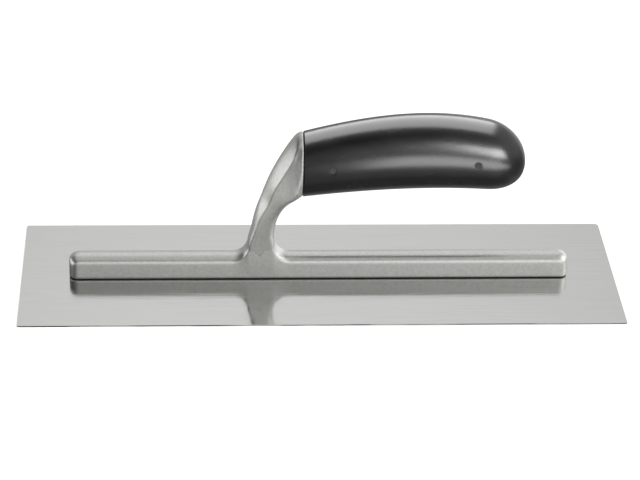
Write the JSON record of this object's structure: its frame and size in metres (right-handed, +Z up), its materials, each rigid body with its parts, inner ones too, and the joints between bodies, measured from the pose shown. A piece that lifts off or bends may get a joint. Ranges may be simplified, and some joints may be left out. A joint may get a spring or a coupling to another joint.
{
  "type": "finishing trowel",
  "caption": "Flat rectangular steel finishing trowel with a long cast mounting bar, a leaning one-piece shank and a closed-end black plastic grip.",
  "frame": {"origin": "centre of the blade's flat underside, on the surface that the trowel rests on", "axes": "+X along the blade's length towards the free end of the grip, +Y across the blade's width, +Z up from the blade to the grip"},
  "size_m": [0.356, 0.12, 0.1067],
  "materials": {
    "blade_steel": "ground and polished spring steel, fine grain along the blade",
    "film": "black bonding and sealing film, matt",
    "casting": "tumbled die-cast aluminium, satin, fine casting grain",
    "grip_plastic": "satin black moulded plastic",
    "stud_steel": "plain weld-stud steel",
    "pin_steel": "black oxide on steel"
  },
  "bodies": {
    "root": {"blade": "blade_steel", "bonding_film": "film", "handle_casting": "casting", "grip": "grip_plastic", "weld_stud_1": "stud_steel", "weld_stud_2": "stud_steel", "weld_stud_3": "stud_steel", "weld_stud_4": "stud_steel", "weld_stud_5": "stud_steel", "weld_stud_6": "stud_steel", "weld_stud_7": "stud_steel", "weld_stud_8": "stud_steel", "weld_stud_9": "stud_steel", "weld_stud_10": "stud_steel", "grip_pin_1": "pin_steel", "grip_pin_2": "pin_steel"}
  },
  "joints": []
}
